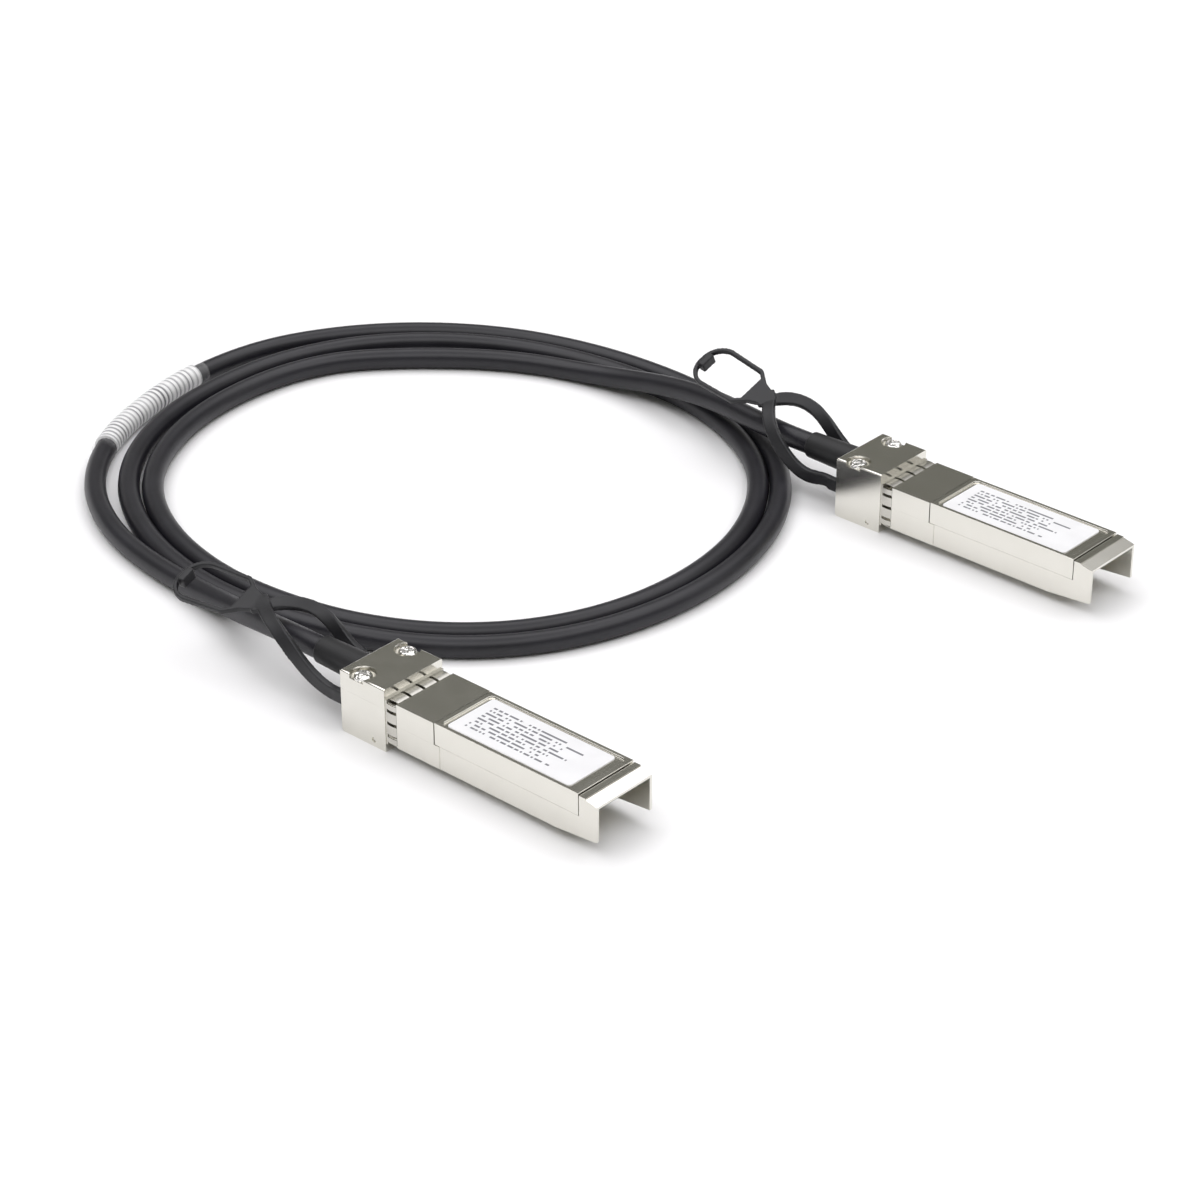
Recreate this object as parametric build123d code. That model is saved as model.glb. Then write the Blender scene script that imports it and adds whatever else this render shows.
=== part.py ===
"""Direct attach copper cable: two pluggable connectors on a loosely coiled copper cable.

Millimetres, +Z up. Both plugs point along +X. The cable lies on the plane z = 0.
A plug's own frame has its origin under the middle of the rear block's back face.
"""
from build123d import *
from math import atan2, cos, degrees, pi, radians, sin, tan
import os

# How far a cut runs past the face that it opens, and how much of a straight run one bend may use
PAST = 1.0
BEND_SHARE = 0.45

# Rear block of a plug, the part that stays outside the port
BLOCK_LENGTH = 10.5
BLOCK_WIDTH = 14.0
BLOCK_HEIGHT = 12.2
HEEL_RADIUS = 0.6
BLOCK_EDGE = 0.35

# Body of a plug, the part that goes into the port
PLUG_LENGTH = 58.0
BODY_WIDTH = 13.55
BODY_HEIGHT = 8.55
BODY_LIFT = 1.85
REAR_WIDTH = 13.75
REAR_END = 21.8
REAR_END_LOW = 23.0
SPLIT_HEIGHT = 6.2
BODY_TOP = BODY_LIFT + BODY_HEIGHT

# Nose of a plug: thin walls, an open mouth and a stepped lip
MOUTH_DEPTH = 9.0
MOUTH_START = PLUG_LENGTH - MOUTH_DEPTH
NOSE_WALL = 0.6
HOOD_LENGTH = 3.8
HOOD_START = PLUG_LENGTH - HOOD_LENGTH
HOOD_ROOF = 8.9
HOOD_STEP = 0.3
LIP_LENGTH = 2.4
LIP_START = PLUG_LENGTH - LIP_LENGTH
LIP_DROP = 0.5
LIP_TIP = 9.35
NOSE_RISE = 0.8

# Lid over the card and the label in its pocket
COVER_WALL = 0.6
COVER_ROOF = 0.9
COVER_GAP = 0.1
HOOD_GAP = 0.2
POCKET_DEPTH = 0.35
POCKET_WIDTH = 12.2
POCKET_START = 22.9
POCKET_SETBACK = 5.0
POCKET_END = PLUG_LENGTH - POCKET_SETBACK
POCKET_CORNER = 0.8
TONGUE_WIDTH = 10.8
TONGUE_THICKNESS = 0.4
TONGUE_REACH = 1.0
LABEL_START = 23.7
LABEL_SETBACK = 1.8
LABEL_LENGTH = POCKET_END - LABEL_START - LABEL_SETBACK
LABEL_WIDTH = 11.4
LABEL_CORNER = 1.2
LABEL_THICKNESS = 0.15

# Circuit card and the tray that holds it
CARD_START = 20.0
CARD_SETBACK = 4.0
CARD_END = PLUG_LENGTH - CARD_SETBACK
CARD_WIDTH = 11.1
CARD_EDGE_WIDTH = 9.2
CARD_THICKNESS = 1.0
CARD_SEAT = 4.9
CARD_CLEARANCE = 0.1
TRAY_START = 13.4
TRAY_FLOOR = 1.2
TRAY_LEDGE = 0.8
REAR_ROOF = 1.0
CHIP_START = 34.0
CHIP_LENGTH = 3.0
CHIP_WIDTH = 4.4
CHIP_HEIGHT = 0.9

# Cable, wire pairs, ferrule and strain relief
CABLE_DIAMETER = 4.2
CABLE_HEIGHT = 8.5
FIT = 0.05
WIRE_COUNT = 4
WIRE_DIAMETER = 1.0
WIRE_PITCH = 1.2
WIRE_OVERLAP = 4.5
WIRE_BEND = 13.0
WIRE_LANDING = 18.0
WIRE_ROOM = 5.6
FERRULE_DIAMETER = 5.6
FERRULE_START = 4.0
FERRULE_END = 9.0
FERRULE_RIM = 6.4
FERRULE_RIM_START = 6.0
RIM_LENGTH = 1.2
BOOT_DIAMETER = 5.7
BOOT_END_DIAMETER = 5.1
BOOT_LENGTH = 11.5
BOOT_RIM = 6.4
BOOT_RIM_START = 1.2
BOOT_END_ROUND = 0.25

# Rivets of the rear block
RIVET_PLACE = 3.9
RIVET_SPREAD = 5.3
RIVET_SHANK = 1.6
RIVET_HEAD = 3.3
RIVET_HEAD_HEIGHT = 0.8
RIVET_HEAD_ROUND = 0.55
RIVET_SEAT = 4.7
RIVET_SEAT_DEPTH = 0.9
RIVET_TIP = 1.0
DIMPLE_DIAMETER = 1.0
DIMPLE_DEPTH = 0.25
DIMPLE_PLACE = 7.7
DIMPLE_HEIGHT = 1.3

# Spring collar in front of the rear block
COLLAR_SHEET = 0.15
COLLAR_LENGTH = 2.6
COLLAR_BAND = 0.4
COLLAR_BOW = 0.15
COLLAR_CORNER = 0.45
COLLAR_GROOVE_START = 0.5
COLLAR_GROOVE_END = 2.4
COLLAR_GROOVE = 0.75
FINGER_SLOT = 0.6
FINGER_PITCH_TOP = 3.3
FINGER_PITCH_SIDE = 2.45

# Release slide, lock tooth and springs
SLIDE_SHEET = 0.4
SLIDE_CLEARANCE = 0.25
SLIDE_HEIGHT = 1.95
EAR_SPREAD = 5.45
EAR_LENGTH = 2.5
EAR_PROUD = 0.9
EAR_TOP = 6.3
SLIDE_WEB_WIDTH = 8.2
TONGUE_SLIDE_WIDTH = 5.8
LUG_PLACE = 8.2
LUG_TOP = 4.1
TOOTH_PLACE = 15.0
TOOTH_LENGTH = 2.4
TOOTH_WIDTH = 2.2
TOOTH_DEPTH = 1.0
PRONG_GAP = 0.3
WEDGE_LENGTH = 1.6
WEDGE_DEPTH = 0.9
SPRING_SPREAD = 3.25
SPRING_DIAMETER = 1.5
SPRING_WIRE = 0.25
SPRING_TURNS = 4
SPRING_SEAT = 3.4
SPRING_ROOM = 0.2

# Pull tab
ARM_WIDTH = 1.4
ARM_HEIGHT = 2.5
ARM_CENTRE = 5.5
ARM_END = 2.2
ARM_STRAIGHT = 2.5
ARM_SECTIONS = 8
CROSSING = -2.0
CROSSING_ANGLE = 42.0
CROSSING_PAST = 2.2
RING_STRAND = 0.85
RING_THICKNESS = 1.1
RING_LENGTH = 17.2
RING_WIDTH = 10.2
RING_NECK = 3.0
RING_NECK_WIDTH = 2.4
RING_WAIST = 1.4
RING_WAIST_WIDTH = 5.4
RING_SHOULDER = 4.1
RING_SHOULDER_WIDTH = 9.4
RING_SHOULDER_ROUND = 1.0
RING_END_ROUND = 4.6
WEB_LENGTH = 3.0
GRIP_LENGTH = 1.5
GRIP_WIDTH = 3.2
GRIP_THICKNESS = 2.2

# Where the second plug lies, and how each soft tab has been left: its web, then turn, pitch and
# roll, then stations of its arms: distance behind the block, share of the spread, rise, and tilt
PLUG_B_AHEAD = 14.7
PLUG_B_ASIDE = 116.4
TAB_A_WEB = (-27.0, -1.3, 12.4)
TAB_A_LEAN = (6.6, -0.4, 17.0)
TAB_A_ARMS = [(10.0, 0.96, 1.8, 0.1), (17.5, 0.84, 6.3, 0.2)]
TAB_B_WEB = (-24.4, 0.4, 14.4)
TAB_B_LEAN = (-6.3, 6.0, 26.6)
TAB_B_ARMS = [(10.0, 1.04, 1.65, 1.35), (17.5, 0.91, 7.1, 1.0)]

# Coil: flat turns side by side, slightly oval
COIL_CENTRE = (-49.7, 67.6)
COIL_HALF_LENGTH = 66.8
COIL_HALF_WIDTH = 61.6
HOLE_CENTRE = (-45.6, 68.0)
HOLE_HALF_LENGTH = 57.2
HOLE_HALF_WIDTH = 52.4
COIL_EDGE = 1.8

# Wrap label on the outermost turn
WRAP_DIAMETER = 4.6
WRAP_LENGTH = 34.0
WRAP_BEARING = -161.0

# Uncoiled ends of the cable, from each plug's ferrule to the coil, seen from plug A's frame
TAIL_A_ROUTE = [
    (4.0, 0.0, 8.5),
    (-20.0, 0.0, 8.5),
    (-45.0, 5.6, 2.9),
    (-66.0, 7.8, 2.1),
]
TAIL_B_ROUTE = [
    (18.7, 116.4, 8.5),
    (-6.0, 116.4, 8.5),
    (-31.0, 121.6, 7.0),
    (-56.0, 121.2, 2.1),
    (-76.0, 114.0, 2.1),
]


def block(x_span, y_span, z_span):
    """A box between three pairs of limits."""
    middle = [(low + high) / 2 for low, high in (x_span, y_span, z_span)]
    size = [high - low for low, high in (x_span, y_span, z_span)]
    return Pos(*middle) * Box(*size)


def across(width):
    """Limits of a width centred on the plug's middle plane."""
    return (-width / 2, width / 2)


def rod(diameter, start, end):
    """A round bar along the line where the cable enters the plug."""
    middle = Pos((start + end) / 2, 0, CABLE_HEIGHT)
    return middle * Rot(0, 90, 0) * Cylinder(diameter / 2, end - start)


def pin(diameter, x, y, bottom, top):
    """A round bar along Z."""
    return Pos(x, y, (bottom + top) / 2) * Cylinder(diameter / 2, top - bottom)


def side_profile(points, width):
    """A closed outline in the plug's XZ plane, drawn out across a width."""
    face = make_face(Polyline(*[(x, 0, z) for x, z in points], close=True))
    return extrude(face, amount=width / 2, dir=(0, 1, 0), both=True)


def both_sides(piece):
    """A piece and its mirror image across the plug's middle plane."""
    return piece + mirror(piece, about=Plane.XZ)


def soft_path(points, name):
    """Straight runs joined by arcs that are as large as the runs allow."""
    corners = [Vector(*point) for point in points]
    radii = []
    for before, here, after in zip(corners, corners[1:], corners[2:]):
        turn = (here - before).get_angle(after - here)
        shorter = min((here - before).length, (after - here).length)
        radii.append(BEND_SHARE * shorter / tan(radians(turn) / 2))
    print(name, "radii", [round(radius, 1) for radius in radii])
    return FilletPolyline(*corners, radius=radii)


# Cuts that both halves of the rear block share
def cable_seat():
    """Room for the boot's neck, its rim, the ferrule, its rim and the wires."""
    seat = rod(BOOT_DIAMETER + 2 * FIT, -PAST, FERRULE_START)
    seat += rod(BOOT_RIM + 2 * FIT, BOOT_RIM_START - FIT, BOOT_RIM_START + RIM_LENGTH + FIT)
    seat += rod(FERRULE_DIAMETER + 2 * FIT, FERRULE_START - FIT, FERRULE_END)
    rim_end = FERRULE_RIM_START + RIM_LENGTH + FIT
    seat += rod(FERRULE_RIM + 2 * FIT, FERRULE_RIM_START - FIT, rim_end)
    return seat + block((FERRULE_END, TRAY_START), across(WIRE_ROOM), (SPLIT_HEIGHT, BODY_TOP - REAR_ROOF))


def arm_channels():
    """Channels in which the tab's arms and the slide's ears run."""
    half = ARM_WIDTH / 2 + SLIDE_CLEARANCE
    arm = block(
        (-PAST, ARM_END + SLIDE_CLEARANCE),
        (EAR_SPREAD - half, EAR_SPREAD + half),
        (ARM_CENTRE - ARM_HEIGHT / 2 - SLIDE_CLEARANCE, ARM_CENTRE + ARM_HEIGHT / 2 + SLIDE_CLEARANCE),
    )
    ear_half = SLIDE_SHEET / 2 + SLIDE_CLEARANCE
    ear = block(
        (-PAST, EAR_LENGTH - EAR_PROUD + SLIDE_CLEARANCE),
        (EAR_SPREAD - ear_half, EAR_SPREAD + ear_half),
        (SLIDE_HEIGHT - SLIDE_CLEARANCE, ARM_CENTRE),
    )
    return both_sides(arm + ear)


def collar_seat():
    """Ledge on the top and sides for the collar's sheet, with a groove that its fingers sink into."""
    seat = None
    for start, end, depth in (
        (0, COLLAR_LENGTH + FIT, COLLAR_SHEET + FIT),
        (COLLAR_GROOVE_START, COLLAR_GROOVE_END, COLLAR_GROOVE),
    ):
        span = (BLOCK_LENGTH + start, BLOCK_LENGTH + end)
        ring = block(span, across(REAR_WIDTH + PAST), (BODY_LIFT, BODY_TOP + PAST))
        ring -= block(span, across(REAR_WIDTH - 2 * depth), (BODY_LIFT, BODY_TOP - depth))
        seat = ring if seat is None else seat + ring
    return seat


def rivet_holes():
    return both_sides(pin(RIVET_SHANK + 2 * FIT, RIVET_PLACE, RIVET_SPREAD, RIVET_TIP - FIT, BLOCK_HEIGHT))


def slide_room():
    """Flat slot and channel under the plug in which the release slide runs."""
    low = SLIDE_HEIGHT - SLIDE_CLEARANCE
    high = SLIDE_HEIGHT + SLIDE_SHEET + SLIDE_CLEARANCE
    bar_end = EAR_LENGTH - EAR_PROUD + SLIDE_CLEARANCE
    bar = block((-PAST, bar_end), across(2 * EAR_SPREAD + SLIDE_SHEET + 2 * SLIDE_CLEARANCE), (low, high))
    web_end = LUG_PLACE + SLIDE_SHEET + SLIDE_CLEARANCE
    web = block((-PAST, web_end), across(SLIDE_WEB_WIDTH + 2 * SLIDE_CLEARANCE), (low, high))
    prong_end = TOOTH_PLACE + TOOTH_LENGTH + PRONG_GAP + WEDGE_LENGTH + SLIDE_CLEARANCE
    channel = block((-PAST, prong_end), across(TONGUE_SLIDE_WIDTH + 2 * SLIDE_CLEARANCE), (low, high))
    half = SPRING_DIAMETER / 2 + SPRING_ROOM
    pocket = block(
        (SPRING_SEAT, web_end),
        (SPRING_SPREAD - half, SPRING_SPREAD + half),
        (low, LUG_TOP + SLIDE_CLEARANCE),
    )
    return bar + web + channel + both_sides(pocket)


def lower_shell():
    """Die-cast base: rear block, card tray, nose hood and lock tooth."""
    shell = block((0, BLOCK_LENGTH), across(BLOCK_WIDTH), (0, CABLE_HEIGHT))
    back_edges = shell.edges().group_by(Axis.X)[0]
    heel = back_edges.filter_by(Axis.Y).sort_by(Axis.Z)[0]
    shell = fillet(heel, HEEL_RADIUS)
    shell += block((BLOCK_LENGTH, REAR_END_LOW), across(REAR_WIDTH), (BODY_LIFT, SPLIT_HEIGHT))
    shell += block((REAR_END_LOW, PLUG_LENGTH), across(BODY_WIDTH), (BODY_LIFT, SPLIT_HEIGHT))
    hood = [
        (HOOD_START, SPLIT_HEIGHT),
        (HOOD_START, BODY_TOP - HOOD_STEP),
        (LIP_START, BODY_TOP - HOOD_STEP),
        (LIP_START, BODY_TOP - LIP_DROP),
        (PLUG_LENGTH, LIP_TIP),
        (PLUG_LENGTH, SPLIT_HEIGHT),
    ]
    shell += side_profile(hood, BODY_WIDTH)
    bay_width = CARD_WIDTH + 2 * CARD_CLEARANCE
    shell -= block((TRAY_START, MOUTH_START), across(bay_width), (CARD_SEAT, SPLIT_HEIGHT))
    well = (BODY_LIFT + TRAY_FLOOR, CARD_SEAT)
    shell -= block((TRAY_START, MOUTH_START), across(bay_width - 2 * TRAY_LEDGE), well)
    mouth_width = BODY_WIDTH - 2 * NOSE_WALL
    shell -= block((MOUTH_START, PLUG_LENGTH + PAST), across(mouth_width), (0, HOOD_ROOF))
    rise = [(MOUTH_START, BODY_LIFT), (PLUG_LENGTH, BODY_LIFT), (PLUG_LENGTH, BODY_LIFT + NOSE_RISE)]
    shell -= side_profile(rise, BODY_WIDTH)
    shell -= cable_seat() + arm_channels() + rivet_holes() + slide_room() + collar_seat()
    dimple = Pos(DIMPLE_PLACE, BLOCK_WIDTH / 2, DIMPLE_HEIGHT) * Rot(90, 0, 0)
    shell -= both_sides(dimple * Cylinder(DIMPLE_DIAMETER / 2, 2 * DIMPLE_DEPTH))
    roof = SLIDE_HEIGHT + SLIDE_SHEET + SLIDE_CLEARANCE
    tooth = [
        (TOOTH_PLACE, roof),
        (TOOTH_PLACE, BODY_LIFT - TOOTH_DEPTH),
        (TOOTH_PLACE + TOOTH_LENGTH, BODY_LIFT),
        (TOOTH_PLACE + TOOTH_LENGTH, roof),
    ]
    return shell + side_profile(tooth, TOOTH_WIDTH)


def upper_shell():
    """Die-cast rear clamp half with two rivet seats and the raised front plate."""
    shell = block((0, BLOCK_LENGTH), across(BLOCK_WIDTH), (CABLE_HEIGHT, BLOCK_HEIGHT))
    rim = shell.edges().group_by(Axis.Z)[-1].sort_by(Axis.X)[:-1]
    shell = fillet(rim, BLOCK_EDGE)
    shell += block((BLOCK_LENGTH, REAR_END), across(REAR_WIDTH), (SPLIT_HEIGHT, BODY_TOP))
    bay = across(CARD_WIDTH + 2 * CARD_CLEARANCE)
    shell -= block((TRAY_START, REAR_END), bay, (SPLIT_HEIGHT, BODY_TOP - REAR_ROOF))
    shell -= cable_seat() + rivet_holes() + collar_seat()
    seat_floor = BLOCK_HEIGHT - RIVET_SEAT_DEPTH
    return shell - both_sides(pin(RIVET_SEAT, RIVET_PLACE, RIVET_SPREAD, seat_floor, BLOCK_HEIGHT + PAST))


def front_cover():
    """Lid with skirts, a label pocket and a front tongue under the nose hood."""
    span = (REAR_END + COVER_GAP, HOOD_START - HOOD_GAP)
    lid = block(span, across(BODY_WIDTH), (SPLIT_HEIGHT, BODY_TOP))
    roof = BODY_TOP - COVER_ROOF
    lid -= block(span, across(BODY_WIDTH - 2 * COVER_WALL), (SPLIT_HEIGHT, roof))
    pocket = RectangleRounded(POCKET_END - POCKET_START, POCKET_WIDTH, POCKET_CORNER)
    pocket_floor = Pos((POCKET_START + POCKET_END) / 2, 0, BODY_TOP - POCKET_DEPTH)
    lid -= extrude(pocket_floor * pocket, amount=POCKET_DEPTH)
    tongue_top = HOOD_ROOF - FIT
    tongue_low = tongue_top - TONGUE_THICKNESS
    lid += block((span[1] - COVER_WALL, span[1]), across(TONGUE_WIDTH), (tongue_low, roof))
    reach = (span[1], HOOD_START + TONGUE_REACH)
    return lid + block(reach, across(TONGUE_WIDTH), (tongue_low, tongue_top))


def top_label():
    label = RectangleRounded(LABEL_LENGTH, LABEL_WIDTH, LABEL_CORNER)
    seat = Pos(LABEL_START + LABEL_LENGTH / 2, 0, BODY_TOP - POCKET_DEPTH)
    return extrude(seat * label, amount=LABEL_THICKNESS)


def finger_row(length, pitch):
    """One side of the collar: a bowed strip cut into spring fingers, standing on z = 0."""
    band_end = BLOCK_LENGTH + COLLAR_BAND
    tip = BLOCK_LENGTH + COLLAR_LENGTH
    crest = (band_end + tip) / 2
    sheet = COLLAR_SHEET
    outline = Polyline((band_end, 0, sheet), (BLOCK_LENGTH, 0, sheet), (BLOCK_LENGTH, 0, 0), (band_end, 0, 0))
    outline += ThreePointArc((band_end, 0, 0), (crest, 0, COLLAR_BOW), (tip, 0, 0))
    outline += Line((tip, 0, 0), (tip, 0, sheet))
    outline += ThreePointArc((tip, 0, sheet), (crest, 0, COLLAR_BOW + sheet), (band_end, 0, sheet))
    strip = extrude(make_face(outline), amount=length / 2, dir=(0, 1, 0), both=True)
    count = int(length / 2 / pitch)
    for step in range(-count, count + 1):
        middle = step * pitch
        slot = (middle - FINGER_SLOT / 2, middle + FINGER_SLOT / 2)
        strip -= block((band_end, tip + PAST), slot, (-PAST, COLLAR_BOW + PAST))
    return strip


def emi_collar():
    """Spring-finger collar: a closed band with a row of bowed fingers on each side."""
    low = BODY_LIFT - FIT
    high = BODY_TOP - COLLAR_SHEET
    middle = (low + high) / 2
    inner_width = REAR_WIDTH - 2 * COLLAR_SHEET
    inner_height = high - low
    band_span = (BLOCK_LENGTH, BLOCK_LENGTH + COLLAR_BAND)
    outer = (inner_width + 2 * COLLAR_SHEET, inner_height + 2 * COLLAR_SHEET)
    collar = block(band_span, across(outer[0]), (middle - outer[1] / 2, middle + outer[1] / 2))
    hole = (middle - inner_height / 2, middle + inner_height / 2)
    collar -= block(band_span, across(inner_width), hole)
    flat_row = finger_row(inner_width - 2 * COLLAR_CORNER, FINGER_PITCH_TOP)
    side_row = finger_row(inner_height - 2 * COLLAR_CORNER, FINGER_PITCH_SIDE)
    for turn, row, stand in (
        (0, flat_row, inner_height / 2),
        (90, side_row, inner_width / 2),
        (180, flat_row, inner_height / 2),
        (270, side_row, inner_width / 2),
    ):
        collar += Pos(0, 0, middle) * Rot(turn, 0, 0) * Pos(0, 0, stand) * row
    return collar


def shell_rivets():
    """Two domed rivets, as separate solids."""
    seat_floor = BLOCK_HEIGHT - RIVET_SEAT_DEPTH
    shank = pin(RIVET_SHANK, RIVET_PLACE, RIVET_SPREAD, RIVET_TIP, seat_floor)
    head = pin(RIVET_HEAD, RIVET_PLACE, RIVET_SPREAD, seat_floor, seat_floor + RIVET_HEAD_HEIGHT)
    rim = head.edges().filter_by(GeomType.CIRCLE).sort_by(Axis.Z)[-1]
    rivet = fillet(rim, RIVET_HEAD_ROUND) + shank
    return Compound([rivet, mirror(rivet, about=Plane.XZ)])


def strain_relief():
    """Tapered boot with a neck and a rim that the rear block grips."""
    bore = CABLE_DIAMETER / 2 + FIT
    outline = [
        (FERRULE_START - FIT, BOOT_DIAMETER / 2),
        (BOOT_RIM_START + RIM_LENGTH, BOOT_DIAMETER / 2),
        (BOOT_RIM_START + RIM_LENGTH, BOOT_RIM / 2),
        (BOOT_RIM_START, BOOT_RIM / 2),
        (BOOT_RIM_START, BOOT_DIAMETER / 2),
        (0, BOOT_DIAMETER / 2),
        (-BOOT_LENGTH + BOOT_END_ROUND, BOOT_END_DIAMETER / 2),
        (-BOOT_LENGTH, BOOT_END_DIAMETER / 2 - BOOT_END_ROUND),
        (-BOOT_LENGTH, bore),
        (FERRULE_START - FIT, bore),
    ]
    face = make_face(Polyline(*[(x, 0, CABLE_HEIGHT + radius) for x, radius in outline], close=True))
    return revolve(face, axis=Axis((0, 0, CABLE_HEIGHT), (1, 0, 0)))


def cable_ferrule():
    ferrule = rod(FERRULE_DIAMETER, FERRULE_START, FERRULE_END)
    return ferrule + rod(FERRULE_RIM, FERRULE_RIM_START, FERRULE_RIM_START + RIM_LENGTH)


def wire_pairs():
    """Four insulated wires, as two pairs, from the ferrule down onto the card."""
    low = CARD_SEAT + CARD_THICKNESS + WIRE_DIAMETER / 2
    wires = []
    for place in range(WIRE_COUNT):
        aside = (place - (WIRE_COUNT - 1) / 2) * WIRE_PITCH
        route = [
            (FERRULE_END, aside, CABLE_HEIGHT),
            (WIRE_BEND, aside, CABLE_HEIGHT),
            (WIRE_LANDING, aside, low),
            (CARD_START + WIRE_OVERLAP, aside, low),
        ]
        wires.append(tube(route, WIRE_DIAMETER, "wire"))
    return Compound(wires)


def paddle_card():
    level = (CARD_SEAT, CARD_SEAT + CARD_THICKNESS)
    card = block((CARD_START, MOUTH_START), across(CARD_WIDTH), level)
    return card + block((MOUTH_START, CARD_END), across(CARD_EDGE_WIDTH), level)


def id_chip():
    top = CARD_SEAT + CARD_THICKNESS
    return block((CHIP_START, CHIP_START + CHIP_LENGTH), across(CHIP_WIDTH), (top, top + CHIP_HEIGHT))


def release_slide():
    """Stamped fork: rear bar with two ears, web with spring lugs, two prongs with wedge tips."""
    level = (SLIDE_HEIGHT, SLIDE_HEIGHT + SLIDE_SHEET)
    ear_span = (-EAR_PROUD, EAR_LENGTH - EAR_PROUD)
    slide = block(ear_span, across(2 * EAR_SPREAD + SLIDE_SHEET), level)
    web_end = LUG_PLACE + SLIDE_SHEET
    slide += block((ear_span[1], web_end), across(SLIDE_WEB_WIDTH), level)
    wedge_start = TOOTH_PLACE + TOOTH_LENGTH + PRONG_GAP
    prong_end = wedge_start + WEDGE_LENGTH
    slide += block((web_end, prong_end), across(TONGUE_SLIDE_WIDTH), level)
    fork = TOOTH_WIDTH + 2 * PRONG_GAP
    fork_root = TOOTH_PLACE - PRONG_GAP
    wedge = [
        (wedge_start, SLIDE_HEIGHT),
        (wedge_start, SLIDE_HEIGHT - WEDGE_DEPTH),
        (prong_end, SLIDE_HEIGHT),
    ]
    slide += side_profile(wedge, TONGUE_SLIDE_WIDTH)
    slide -= block((fork_root, prong_end + PAST), across(fork), (0, level[1]))
    ear = (EAR_SPREAD - SLIDE_SHEET / 2, EAR_SPREAD + SLIDE_SHEET / 2)
    slide += both_sides(block(ear_span, ear, (SLIDE_HEIGHT, EAR_TOP)))
    lug = (SPRING_SPREAD - SPRING_DIAMETER / 2, SPRING_SPREAD + SPRING_DIAMETER / 2)
    return slide + both_sides(block((LUG_PLACE, web_end), lug, (SLIDE_HEIGHT, LUG_TOP)))


def return_springs():
    """Two coil springs between the block and the slide's lugs, as separate solids."""
    mean = (SPRING_DIAMETER - SPRING_WIRE) / 2
    rise = LUG_PLACE - SPRING_SEAT - SPRING_WIRE
    height = SLIDE_HEIGHT + SLIDE_SHEET + FIT + SPRING_DIAMETER / 2
    helix = Helix(rise / SPRING_TURNS, rise, mean)
    wire = Plane(origin=helix @ 0, z_dir=helix % 0) * Circle(SPRING_WIRE / 2)
    coil = sweep(wire, path=helix, is_frenet=True)
    spring = Pos(SPRING_SEAT + SPRING_WIRE / 2, SPRING_SPREAD, height) * Rot(0, 90, 0) * coil
    return Compound([spring, mirror(spring, about=Plane.XZ)])


def ribbon_arm(side, stations, flat):
    """One arm: upright where it holds the slide, turning flat as it rises into the web's plane."""
    spread = side * EAR_SPREAD
    low, high = ARM_CENTRE - ARM_HEIGHT / 2, ARM_CENTRE + ARM_HEIGHT / 2
    held = block((-ARM_STRAIGHT, ARM_END), (spread - ARM_WIDTH / 2, spread + ARM_WIDTH / 2), (low, high))
    angle = radians(CROSSING_ANGLE)
    heading = flat.x_dir * cos(angle) + flat.y_dir * (side * sin(angle))
    end = flat.origin + flat.x_dir * CROSSING + heading * CROSSING_PAST
    route = [(-ARM_STRAIGHT, spread, ARM_CENTRE)]
    for back, share, rise, tilt in stations:
        route.append((-back, share * spread, ARM_CENTRE + rise + side * tilt))
    path = Spline(*route, end, tangents=[(-1, 0, 0), heading])
    upright, lying = Vector(0, 0, 1), heading.cross(flat.z_dir)
    sections = []
    for step in range(ARM_SECTIONS):
        share = step / (ARM_SECTIONS - 1)
        turned = share * share * (3 - 2 * share)
        across_arm = upright * (1 - turned) + lying * turned
        along = path % share
        across_arm -= along * across_arm.dot(along)
        thickness = ARM_WIDTH + (RING_THICKNESS - ARM_WIDTH) * share
        section = Plane(origin=path @ share, x_dir=across_arm, z_dir=along)
        sections.append(section * Rectangle(ARM_HEIGHT, thickness))
    return held + loft(sections)


def pull_tab(web, lean, arms):
    """Moulded tab: two arms that cross over the cable, a web and a finger ring with a grip."""
    turn, pitch, roll = lean
    level = Plane(origin=web, x_dir=(-1, 0, 0), z_dir=(0, 0, 1))
    flat = Plane(level * Rot(0, 0, turn) * Rot(0, -pitch, 0) * Rot(-roll, 0, 0))
    corners = [
        (-RING_NECK, RING_NECK_WIDTH / 2),
        (RING_WAIST, RING_WAIST_WIDTH / 2),
        (RING_SHOULDER, RING_SHOULDER_WIDTH / 2),
        (RING_LENGTH, RING_WIDTH / 2),
    ]
    outline = corners + [(along, -aside) for along, aside in reversed(corners)]
    ring = make_face(Polyline(*outline, close=True))
    ring = fillet(ring.vertices().sort_by(Axis.X)[-2:], RING_END_ROUND)
    shoulders = ring.vertices().filter_by_position(Axis.X, RING_SHOULDER - FIT, RING_SHOULDER + FIT)
    ring = fillet(shoulders, RING_SHOULDER_ROUND)
    hole = offset(ring, -RING_STRAND)
    hole -= Pos((WEB_LENGTH - RING_NECK) / 2, 0) * Rectangle(WEB_LENGTH + RING_NECK, RING_WIDTH)
    tab = extrude(flat * (ring - hole), amount=RING_THICKNESS / 2, both=True)
    grip = Pos(RING_LENGTH - RING_STRAND - GRIP_LENGTH / 2, 0) * Rectangle(GRIP_LENGTH, GRIP_WIDTH)
    tab += extrude(flat * grip, amount=GRIP_THICKNESS / 2, both=True)
    tab += ribbon_arm(-1, arms, flat)
    tab += ribbon_arm(1, arms, flat)
    ear = (EAR_SPREAD - SLIDE_SHEET / 2, EAR_SPREAD + SLIDE_SHEET / 2)
    return tab - both_sides(block((-EAR_PROUD, EAR_LENGTH - EAR_PROUD), ear, (0, EAR_TOP)))


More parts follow.
